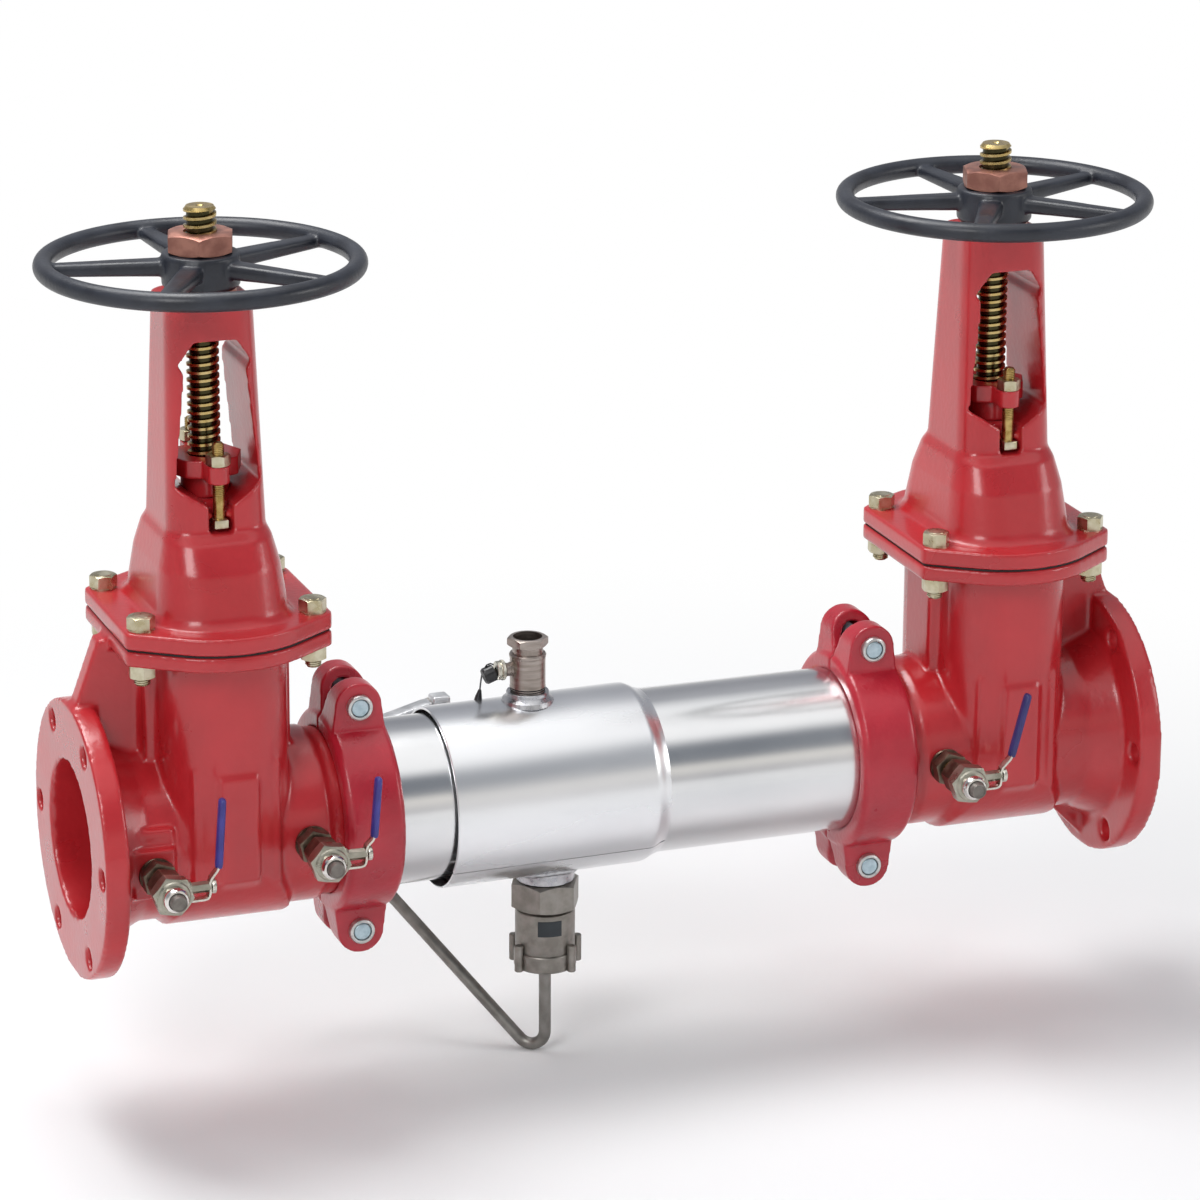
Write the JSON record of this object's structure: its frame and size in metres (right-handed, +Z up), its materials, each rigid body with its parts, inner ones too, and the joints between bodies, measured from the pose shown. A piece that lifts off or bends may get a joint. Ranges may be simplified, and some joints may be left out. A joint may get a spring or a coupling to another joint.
{
  "type": "reduced pressure detector assembly",
  "caption": "Backflow preventer with two rising-stem gate valves, grooved couplings, a stainless check housing, a relief valve below and a metered bypass behind.",
  "frame": {"origin": "centre of the inlet flange's face, on the pipe's centre line", "axes": "+X along the pipe from inlet to outlet, +Z up along the stems, the test cocks on the -Y side"},
  "size_m": [1.153, 0.372, 0.9217],
  "materials": {
    "red_enamel": "gloss red enamel on ductile iron",
    "coupling_paint": "gloss crimson enamel on ductile iron",
    "black_enamel": "satin black enamel",
    "gate_iron": "rubber-coated iron, matt",
    "stem_brass": "turned",
    "nut_bronze": "cast and machined",
    "zinc_steel": "zinc plated",
    "stainless": "brushed stainless",
    "nickel_bronze": "dull nickel-plated bronze",
    "seal_rubber": "matt",
    "black_plastic": "satin",
    "lever_steel": "bright",
    "grip_vinyl": "dipped purple-blue vinyl",
    "pipe_brass": "drawn"
  },
  "bodies": {
    "assembly": {"inlet_valve_body": "red_enamel", "outlet_valve_body": "red_enamel", "inlet_bonnet": "red_enamel", "outlet_bonnet": "red_enamel", "bonnet_gaskets": "seal_rubber", "bonnet_bolts": "zinc_steel", "stem_packings": "seal_rubber", "inlet_gland_follower": "red_enamel", "outlet_gland_follower": "red_enamel", "gland_bolts": "zinc_steel", "yoke_caps": "red_enamel", "inlet_coupling_front": "coupling_paint", "inlet_coupling_rear": "coupling_paint", "outlet_coupling_front": "coupling_paint", "outlet_coupling_rear": "coupling_paint", "coupling_gaskets": "seal_rubber", "coupling_bolts": "zinc_steel", "check_housing": "stainless", "access_sleeve": "stainless", "sleeve_seals": "seal_rubber", "first_check_seat": "stainless", "first_check_spring": "stainless", "second_check_seat": "stainless", "second_check_spring": "stainless", "relief_union_nut": "nickel_bronze", "relief_body": "nickel_bronze", "relief_lug_nut": "nickel_bronze", "relief_spring": "stainless", "sensing_tube": "nickel_bronze", "top_test_port": "nut_bronze", "dust_cap": "black_plastic", "cap_tether": "seal_rubber", "test_cock_nipples": "nut_bronze", "test_cock_bodies": "nut_bronze", "bypass_pipes": "pipe_brass", "bypass_valve_bodies": "nut_bronze", "bypass_meter": "nut_bronze", "bypass_register": "black_plastic", "bypass_backflow": "nut_bronze"},
    "inlet_wheel": {"inlet_handwheel": "black_enamel", "inlet_wheel_nut": "nut_bronze", "inlet_yoke_nut": "stem_brass"},
    "inlet_gate": {"inlet_stem": "stem_brass", "inlet_wedge": "gate_iron"},
    "outlet_wheel": {"outlet_handwheel": "black_enamel", "outlet_wheel_nut": "nut_bronze", "outlet_yoke_nut": "stem_brass"},
    "outlet_gate": {"outlet_stem": "stem_brass", "outlet_wedge": "gate_iron"},
    "cock_lever_1": {"test_cock_lever_1": "lever_steel", "test_cock_grip_1": "grip_vinyl"},
    "cock_lever_2": {"test_cock_lever_2": "lever_steel", "test_cock_grip_2": "grip_vinyl"},
    "cock_lever_4": {"test_cock_lever_4": "lever_steel", "test_cock_grip_4": "grip_vinyl"},
    "bypass_lever_in": {"bypass_inlet_lever": "lever_steel"},
    "bypass_lever_out": {"bypass_outlet_lever": "lever_steel"},
    "first_poppet": {"first_check_poppet": "stainless"},
    "second_poppet": {"second_check_poppet": "stainless"},
    "relief_valve_disc": {"relief_disc": "nickel_bronze"}
  },
  "joints": [
    {"name": "inlet_wheel_turn", "type": "hinge", "parent": "assembly", "child": "inlet_wheel", "pos_m": [0.144, 0, 0.57], "axis": [0, 0, 1], "range_deg": [0, 7380]},
    {"name": "inlet_gate_lift", "type": "slide", "parent": "assembly", "child": "inlet_gate", "axis": [0, 0, 1], "range_m": [0, 0.16401]},
    {"name": "outlet_wheel_turn", "type": "hinge", "parent": "assembly", "child": "outlet_wheel", "pos_m": [0.976, 0, 0.57], "axis": [0, 0, 1], "range_deg": [0, 7380]},
    {"name": "outlet_gate_lift", "type": "slide", "parent": "assembly", "child": "outlet_gate", "axis": [0, 0, 1], "range_m": [0, 0.16401]},
    {"name": "cock_1_turn", "type": "hinge", "parent": "assembly", "child": "cock_lever_1", "pos_m": [0.06, -0.144, -0.01], "axis": [1, 0, 0], "range_deg": [0, 90]},
    {"name": "cock_2_turn", "type": "hinge", "parent": "assembly", "child": "cock_lever_2", "pos_m": [0.221, -0.134, 0], "axis": [1, 0, 0], "range_deg": [0, 90]},
    {"name": "cock_4_turn", "type": "hinge", "parent": "assembly", "child": "cock_lever_4", "pos_m": [0.899, -0.134, 0], "axis": [1, 0, 0], "range_deg": [0, 90]},
    {"name": "bypass_in_turn", "type": "hinge", "parent": "assembly", "child": "bypass_lever_in", "pos_m": [0.35, 0.15, -0.015], "axis": [0, 0, 1], "range_deg": [0, 90]},
    {"name": "bypass_out_turn", "type": "hinge", "parent": "assembly", "child": "bypass_lever_out", "pos_m": [0.77, 0.15, -0.015], "axis": [0, 0, -1], "range_deg": [0, 90]},
    {"name": "first_check_open", "type": "slide", "parent": "assembly", "child": "first_poppet", "axis": [1, 0, 0], "range_m": [0, 0.022], "stiffness_N_per_m": 600, "springref_m": -0.01, "deforming": ["first_check_spring"]},
    {"name": "second_check_open", "type": "slide", "parent": "assembly", "child": "second_poppet", "axis": [1, 0, 0], "range_m": [0, 0.022], "stiffness_N_per_m": 600, "springref_m": -0.01, "deforming": ["second_check_spring"]},
    {"name": "relief_open", "type": "slide", "parent": "assembly", "child": "relief_valve_disc", "axis": [0, 0, -1], "range_m": [0, 0.005], "stiffness_N_per_m": 900, "springref_m": -0.005, "deforming": ["relief_spring"]}
  ],
  "couplings": [
    {"joint": "inlet_gate_lift", "follows": "inlet_wheel_turn", "m_per_rad": 0.0012732},
    {"joint": "outlet_gate_lift", "follows": "outlet_wheel_turn", "m_per_rad": 0.0012732}
  ]
}
